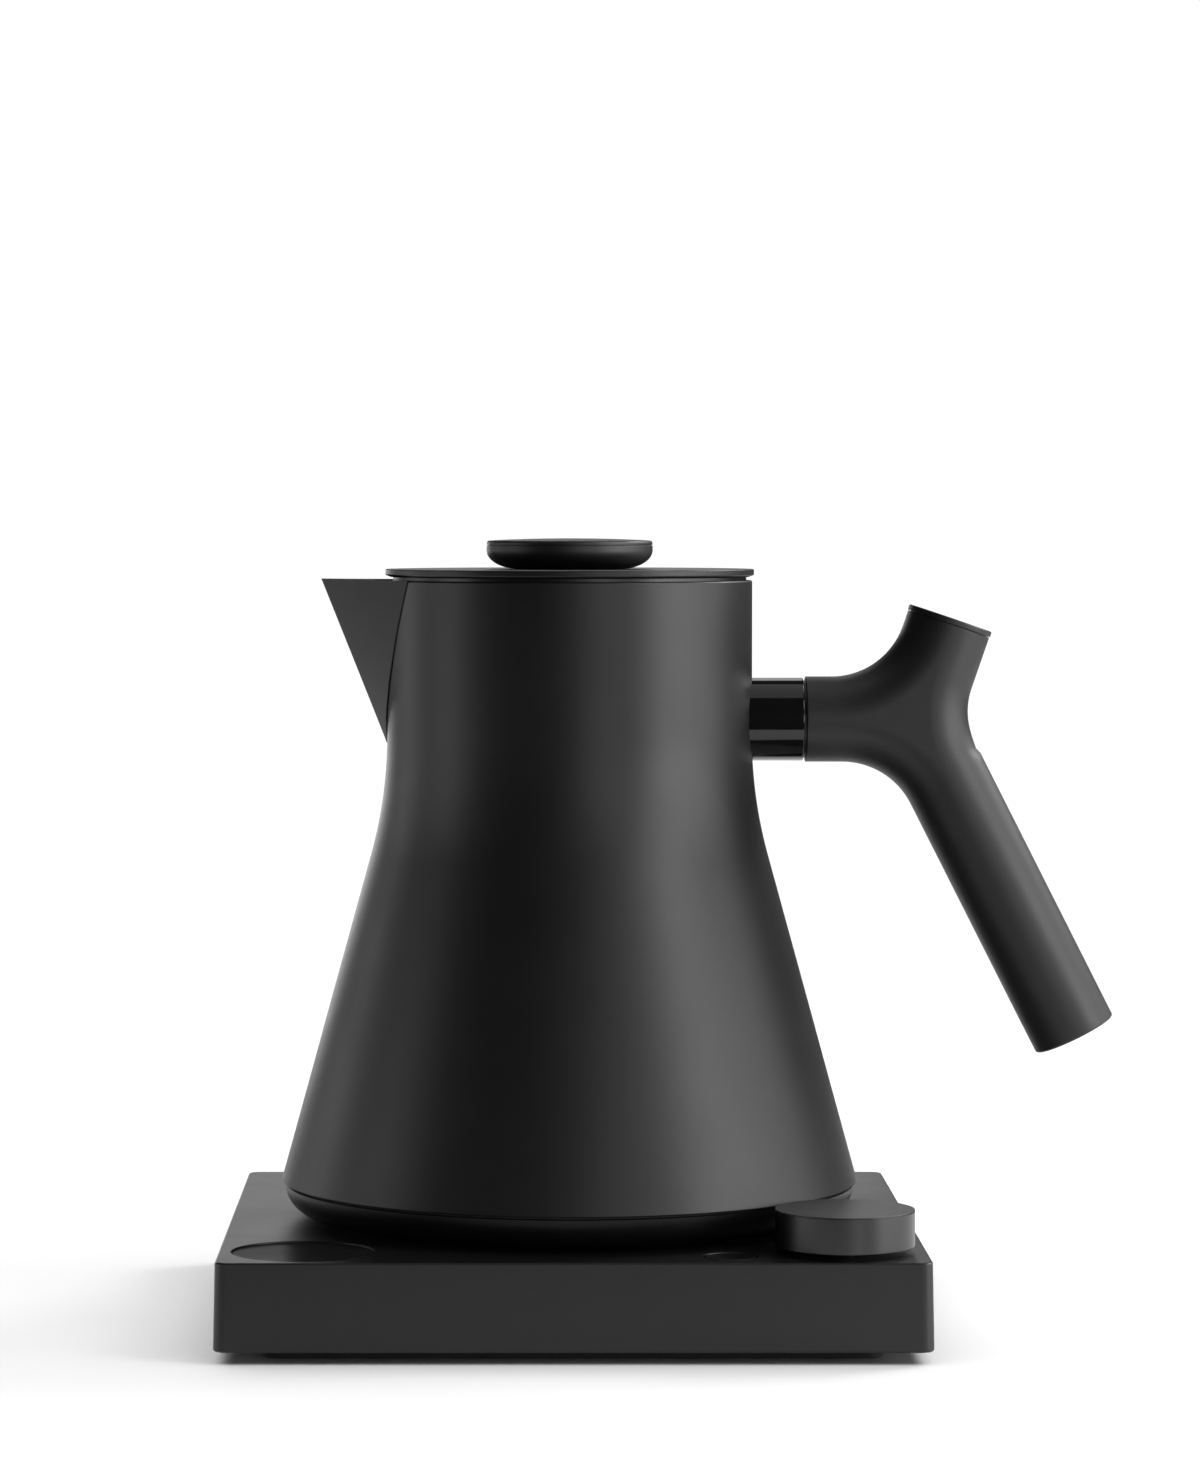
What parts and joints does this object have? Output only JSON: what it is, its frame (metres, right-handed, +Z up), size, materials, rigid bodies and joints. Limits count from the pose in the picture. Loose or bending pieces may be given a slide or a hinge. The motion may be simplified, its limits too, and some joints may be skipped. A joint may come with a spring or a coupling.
{
  "type": "electric kettle",
  "caption": "Cordless electric pour-over kettle with a V-shaped beak spout and Y-shaped handle, on a low rectangular power base with a dial, button and display.",
  "frame": {"origin": "centre of the base's foot ring, on the table top", "axes": "+Z up, +X towards the handle, -X towards the spout, -Y towards the front with the controls"},
  "size_m": [0.2226, 0.168, 0.1953],
  "materials": {
    "powder_coat": "fine satin powder coat, black",
    "housing_plastic": "satin black moulding",
    "handle_plastic": "soft matte black moulding",
    "gloss_black": "polished black",
    "dark_plastic": "plain black moulding",
    "foot_rubber": "matt silicone",
    "gasket_rubber": "matt silicone",
    "seal_rubber": "matt silicone",
    "steel": "brushed stainless steel",
    "zinc_steel": "bright zinc plate",
    "weight_steel": "turned steel",
    "spreader_aluminium": "as cast",
    "contact_brass": "bright",
    "window": "dark tinted display window",
    "circuit_board": "green laminate",
    "relay_plastic": "blue moulding",
    "white_plastic": "white moulding"
  },
  "bodies": {
    "base": {"base_housing": "housing_plastic", "bottom_plate": "dark_plastic", "foot_ring": "foot_rubber", "base_screws": "zinc_steel", "cord_gland": "dark_plastic", "base_connector": "gloss_black", "connector_contacts": "contact_brass", "display_window": "window", "display_module": "dark_plastic", "control_board": "circuit_board", "power_board": "circuit_board", "relay": "relay_plastic", "encoder_body": "dark_plastic", "button_switch": "dark_plastic"},
    "dial_plunger": {"encoder_plunger": "white_plastic"},
    "dial": {"dial_body": "housing_plastic", "dial_cap": "housing_plastic", "dial_shaft": "zinc_steel"},
    "button": {"menu_button": "housing_plastic"},
    "socket": {"kettle_socket": "dark_plastic", "socket_contacts": "contact_brass"},
    "kettle": {"body_shell": "powder_coat", "spout": "powder_coat", "floor_plate": "steel", "heat_spreader": "spreader_aluminium", "heating_element": "spreader_aluminium", "temperature_probe": "steel", "boil_dry_switch": "contact_brass", "bottom_cup": "dark_plastic", "base_seal": "seal_rubber", "cup_screws": "zinc_steel", "handle_stud": "steel", "handle_collar": "gloss_black", "handle_body": "handle_plastic", "counterweight": "weight_steel", "handle_bolt": "zinc_steel", "handle_cap": "handle_plastic"},
    "lid": {"lid_disc": "powder_coat", "lid_skirt": "steel", "lid_gasket": "gasket_rubber", "lid_pull": "handle_plastic", "lid_pull_cap": "handle_plastic", "lid_screw": "zinc_steel"}
  },
  "joints": [
    {"name": "dial_press", "type": "slide", "parent": "base", "child": "dial_plunger", "axis": [0, 0, -1], "range_m": [0, 0.0008], "stiffness_N_per_m": 2500, "springref_m": -0.0005},
    {"name": "dial_turn", "type": "hinge", "parent": "dial_plunger", "child": "dial", "pos_m": [0.0653, -0.0639, 0.0258], "axis": [0, 0, 1], "continuous": true},
    {"name": "button_press", "type": "slide", "parent": "base", "child": "button", "axis": [0, 0, -1], "range_m": [0, 0.0006], "stiffness_N_per_m": 1500, "springref_m": -0.0004},
    {"name": "kettle_lift", "type": "slide", "parent": "base", "child": "socket", "axis": [0, 0, 1], "range_m": [0, 0.25]},
    {"name": "kettle_turn", "type": "hinge", "parent": "socket", "child": "kettle", "pos_m": [0, 0, 0.0252], "axis": [0, 0, 1], "continuous": true},
    {"name": "lid_lift", "type": "slide", "parent": "kettle", "child": "lid", "axis": [0, 0, 1], "range_m": [0, 0.08]}
  ]
}
